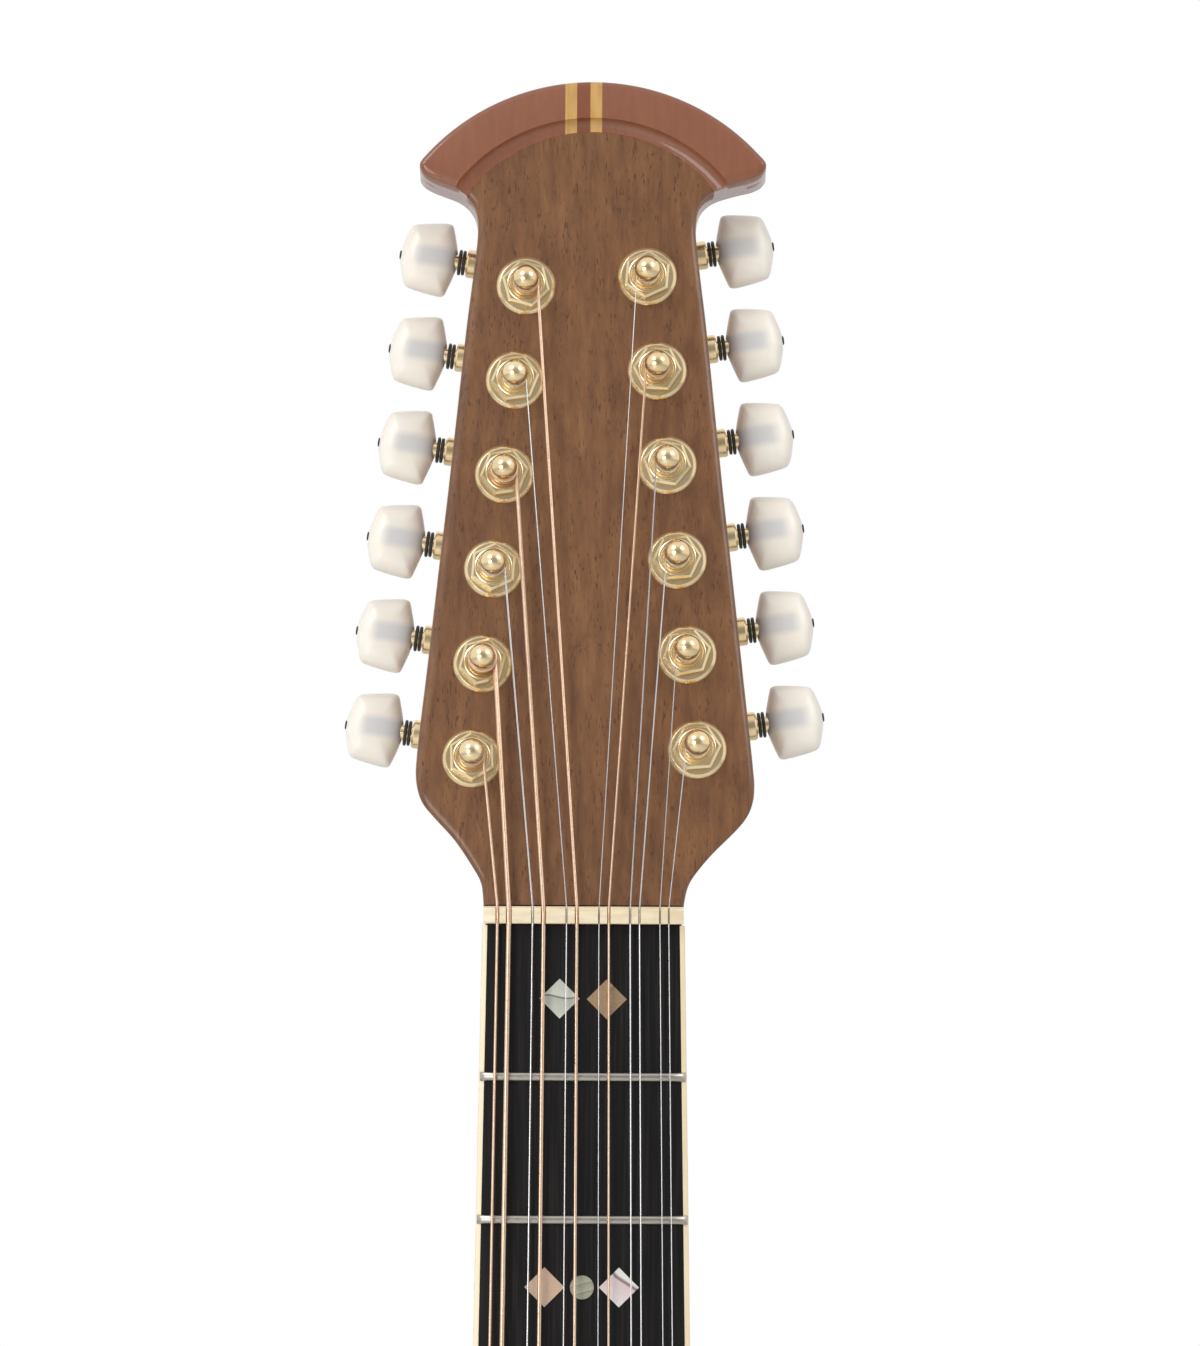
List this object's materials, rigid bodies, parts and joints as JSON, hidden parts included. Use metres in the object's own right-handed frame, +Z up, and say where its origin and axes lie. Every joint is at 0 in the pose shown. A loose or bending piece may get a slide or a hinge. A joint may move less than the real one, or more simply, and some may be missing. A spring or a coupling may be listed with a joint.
{
  "type": "twelve-string acoustic guitar",
  "caption": "Round-backed acoustic guitar with paired strings, a long tilted head with a flared crest, and geared tuning machines down both sides.",
  "frame": {"origin": "on the crown of the fretboard, at the nut's edge towards the body, on the instrument's centre line", "axes": "+Z up the neck towards the head, +Y away from the player-facing strings towards the back, +X towards the thinnest strings"},
  "size_m": [0.4006, 0.1435, 1.0474],
  "materials": {
    "mahogany": "clear satin lacquer",
    "walnut": "clear gloss lacquer",
    "ebony": "oiled",
    "bone": "polished bone, pale cream",
    "steel": "bright",
    "composite": "moulded fibre composite, fine textured",
    "spruce": "gloss lacquer, amber",
    "brace_wood": "bare",
    "rosewood": "satin",
    "gold_plate": "polished gold plate",
    "pearloid": "frosted translucent, white",
    "bronze_wound": "phosphor bronze winding"
  },
  "bodies": {
    "guitar": {"neck": "mahogany", "head_veneer": "walnut", "fretboard": "ebony", "nut": "bone", "truss_rod": "steel", "bowl": "composite", "soundboard": "spruce", "bracing": "brace_wood", "bridge": "rosewood", "saddle": "bone", "tuner_bass_1_housing": "gold_plate", "tuner_bass_2_housing": "gold_plate", "tuner_bass_3_housing": "gold_plate", "tuner_bass_4_housing": "gold_plate", "tuner_bass_5_housing": "gold_plate", "tuner_bass_6_housing": "gold_plate", "tuner_treble_1_housing": "gold_plate", "tuner_treble_2_housing": "gold_plate", "tuner_treble_3_housing": "gold_plate", "tuner_treble_4_housing": "gold_plate", "tuner_treble_5_housing": "gold_plate", "tuner_treble_6_housing": "gold_plate", "string_01_e3": "bronze_wound", "string_02_e2": "bronze_wound", "string_03_a3": "steel", "string_04_a2": "bronze_wound", "string_05_d4": "steel", "string_06_d3": "bronze_wound", "string_07_g4": "steel", "string_08_g3": "bronze_wound", "string_09_b3": "steel", "string_10_b3": "steel", "string_11_e4": "steel", "string_12_e4": "steel", "strap_button_tail": "gold_plate", "strap_button_heel": "gold_plate"},
    "tuner_bass_1_key_body": {"tuner_bass_1_key": "pearloid"},
    "tuner_bass_1_post_body": {"tuner_bass_1_post": "gold_plate"},
    "tuner_bass_2_key_body": {"tuner_bass_2_key": "pearloid"},
    "tuner_bass_2_post_body": {"tuner_bass_2_post": "gold_plate"},
    "tuner_bass_3_key_body": {"tuner_bass_3_key": "pearloid"},
    "tuner_bass_3_post_body": {"tuner_bass_3_post": "gold_plate"},
    "tuner_bass_4_key_body": {"tuner_bass_4_key": "pearloid"},
    "tuner_bass_4_post_body": {"tuner_bass_4_post": "gold_plate"},
    "tuner_bass_5_key_body": {"tuner_bass_5_key": "pearloid"},
    "tuner_bass_5_post_body": {"tuner_bass_5_post": "gold_plate"},
    "tuner_bass_6_key_body": {"tuner_bass_6_key": "pearloid"},
    "tuner_bass_6_post_body": {"tuner_bass_6_post": "gold_plate"},
    "tuner_treble_1_key_body": {"tuner_treble_1_key": "pearloid"},
    "tuner_treble_1_post_body": {"tuner_treble_1_post": "gold_plate"},
    "tuner_treble_2_key_body": {"tuner_treble_2_key": "pearloid"},
    "tuner_treble_2_post_body": {"tuner_treble_2_post": "gold_plate"},
    "tuner_treble_3_key_body": {"tuner_treble_3_key": "pearloid"},
    "tuner_treble_3_post_body": {"tuner_treble_3_post": "gold_plate"},
    "tuner_treble_4_key_body": {"tuner_treble_4_key": "pearloid"},
    "tuner_treble_4_post_body": {"tuner_treble_4_post": "gold_plate"},
    "tuner_treble_5_key_body": {"tuner_treble_5_key": "pearloid"},
    "tuner_treble_5_post_body": {"tuner_treble_5_post": "gold_plate"},
    "tuner_treble_6_key_body": {"tuner_treble_6_key": "pearloid"},
    "tuner_treble_6_post_body": {"tuner_treble_6_post": "gold_plate"}
  },
  "joints": [
    {"name": "tuner_bass_1_key_turn", "type": "hinge", "parent": "guitar", "child": "tuner_bass_1_key_body", "pos_m": [-0.02576, 0.02914, 0.04325], "axis": [-0.9914, 0.026, 0.1279], "continuous": true},
    {"name": "tuner_bass_1_post_turn", "type": "hinge", "parent": "guitar", "child": "tuner_bass_1_post_body", "pos_m": [-0.0268, 0.00786, 0.03949], "axis": [0, -0.9799, 0.1994], "continuous": true},
    {"name": "tuner_bass_2_key_turn", "type": "hinge", "parent": "guitar", "child": "tuner_bass_2_key_body", "pos_m": [-0.0233, 0.03373, 0.06585], "axis": [-0.9914, 0.026, 0.1279], "continuous": true},
    {"name": "tuner_bass_2_post_turn", "type": "hinge", "parent": "guitar", "child": "tuner_bass_2_post_body", "pos_m": [-0.02434, 0.01246, 0.06209], "axis": [0, -0.9799, 0.1994], "continuous": true},
    {"name": "tuner_bass_3_key_turn", "type": "hinge", "parent": "guitar", "child": "tuner_bass_3_key_body", "pos_m": [-0.02084, 0.03833, 0.08845], "axis": [-0.9914, 0.026, 0.1279], "continuous": true},
    {"name": "tuner_bass_3_post_turn", "type": "hinge", "parent": "guitar", "child": "tuner_bass_3_post_body", "pos_m": [-0.02188, 0.01705, 0.08468], "axis": [0, -0.9799, 0.1994], "continuous": true},
    {"name": "tuner_bass_4_key_turn", "type": "hinge", "parent": "guitar", "child": "tuner_bass_4_key_body", "pos_m": [-0.01838, 0.04293, 0.11105], "axis": [-0.9914, 0.026, 0.1279], "continuous": true},
    {"name": "tuner_bass_4_post_turn", "type": "hinge", "parent": "guitar", "child": "tuner_bass_4_post_body", "pos_m": [-0.01942, 0.02165, 0.10728], "axis": [0, -0.9799, 0.1994], "continuous": true},
    {"name": "tuner_bass_5_key_turn", "type": "hinge", "parent": "guitar", "child": "tuner_bass_5_key_body", "pos_m": [-0.01592, 0.04753, 0.13364], "axis": [-0.9914, 0.026, 0.1279], "continuous": true},
    {"name": "tuner_bass_5_post_turn", "type": "hinge", "parent": "guitar", "child": "tuner_bass_5_post_body", "pos_m": [-0.01696, 0.02625, 0.12988], "axis": [0, -0.9799, 0.1994], "continuous": true},
    {"name": "tuner_bass_6_key_turn", "type": "hinge", "parent": "guitar", "child": "tuner_bass_6_key_body", "pos_m": [-0.01346, 0.05212, 0.15624], "axis": [-0.9914, 0.026, 0.1279], "continuous": true},
    {"name": "tuner_bass_6_post_turn", "type": "hinge", "parent": "guitar", "child": "tuner_bass_6_post_body", "pos_m": [-0.0145, 0.03084, 0.15247], "axis": [0, -0.9799, 0.1994], "continuous": true},
    {"name": "tuner_treble_1_key_turn", "type": "hinge", "parent": "guitar", "child": "tuner_treble_1_key_body", "pos_m": [0.02576, 0.02961, 0.04561], "axis": [0.9914, 0.026, 0.1279], "continuous": true},
    {"name": "tuner_treble_1_post_turn", "type": "hinge", "parent": "guitar", "child": "tuner_treble_1_post_body", "pos_m": [0.0268, 0.00834, 0.04184], "axis": [0, -0.9799, 0.1994], "continuous": true},
    {"name": "tuner_treble_2_key_turn", "type": "hinge", "parent": "guitar", "child": "tuner_treble_2_key_body", "pos_m": [0.0233, 0.03421, 0.0682], "axis": [0.9914, 0.026, 0.1279], "continuous": true},
    {"name": "tuner_treble_2_post_turn", "type": "hinge", "parent": "guitar", "child": "tuner_treble_2_post_body", "pos_m": [0.02434, 0.01293, 0.06444], "axis": [0, -0.9799, 0.1994], "continuous": true},
    {"name": "tuner_treble_3_key_turn", "type": "hinge", "parent": "guitar", "child": "tuner_treble_3_key_body", "pos_m": [0.02084, 0.03881, 0.0908], "axis": [0.9914, 0.026, 0.1279], "continuous": true},
    {"name": "tuner_treble_3_post_turn", "type": "hinge", "parent": "guitar", "child": "tuner_treble_3_post_body", "pos_m": [0.02188, 0.01753, 0.08704], "axis": [0, -0.9799, 0.1994], "continuous": true},
    {"name": "tuner_treble_4_key_turn", "type": "hinge", "parent": "guitar", "child": "tuner_treble_4_key_body", "pos_m": [0.01838, 0.04341, 0.1134], "axis": [0.9914, 0.026, 0.1279], "continuous": true},
    {"name": "tuner_treble_4_post_turn", "type": "hinge", "parent": "guitar", "child": "tuner_treble_4_post_body", "pos_m": [0.01942, 0.02213, 0.10963], "axis": [0, -0.9799, 0.1994], "continuous": true},
    {"name": "tuner_treble_5_key_turn", "type": "hinge", "parent": "guitar", "child": "tuner_treble_5_key_body", "pos_m": [0.01592, 0.048, 0.13599], "axis": [0.9914, 0.026, 0.1279], "continuous": true},
    {"name": "tuner_treble_5_post_turn", "type": "hinge", "parent": "guitar", "child": "tuner_treble_5_post_body", "pos_m": [0.01696, 0.02673, 0.13223], "axis": [0, -0.9799, 0.1994], "continuous": true},
    {"name": "tuner_treble_6_key_turn", "type": "hinge", "parent": "guitar", "child": "tuner_treble_6_key_body", "pos_m": [0.01346, 0.0526, 0.15859], "axis": [0.9914, 0.026, 0.1279], "continuous": true},
    {"name": "tuner_treble_6_post_turn", "type": "hinge", "parent": "guitar", "child": "tuner_treble_6_post_body", "pos_m": [0.0145, 0.03132, 0.15483], "axis": [0, -0.9799, 0.1994], "continuous": true}
  ],
  "couplings": [
    {"joint": "tuner_bass_1_post_turn", "follows": "tuner_bass_1_key_turn", "ratio": 0.071429},
    {"joint": "tuner_bass_2_post_turn", "follows": "tuner_bass_2_key_turn", "ratio": 0.071429},
    {"joint": "tuner_bass_3_post_turn", "follows": "tuner_bass_3_key_turn", "ratio": 0.071429},
    {"joint": "tuner_bass_4_post_turn", "follows": "tuner_bass_4_key_turn", "ratio": 0.071429},
    {"joint": "tuner_bass_5_post_turn", "follows": "tuner_bass_5_key_turn", "ratio": 0.071429},
    {"joint": "tuner_bass_6_post_turn", "follows": "tuner_bass_6_key_turn", "ratio": 0.071429},
    {"joint": "tuner_treble_1_post_turn", "follows": "tuner_treble_1_key_turn", "ratio": 0.071429},
    {"joint": "tuner_treble_2_post_turn", "follows": "tuner_treble_2_key_turn", "ratio": 0.071429},
    {"joint": "tuner_treble_3_post_turn", "follows": "tuner_treble_3_key_turn", "ratio": 0.071429},
    {"joint": "tuner_treble_4_post_turn", "follows": "tuner_treble_4_key_turn", "ratio": 0.071429},
    {"joint": "tuner_treble_5_post_turn", "follows": "tuner_treble_5_key_turn", "ratio": 0.071429},
    {"joint": "tuner_treble_6_post_turn", "follows": "tuner_treble_6_key_turn", "ratio": 0.071429}
  ]
}
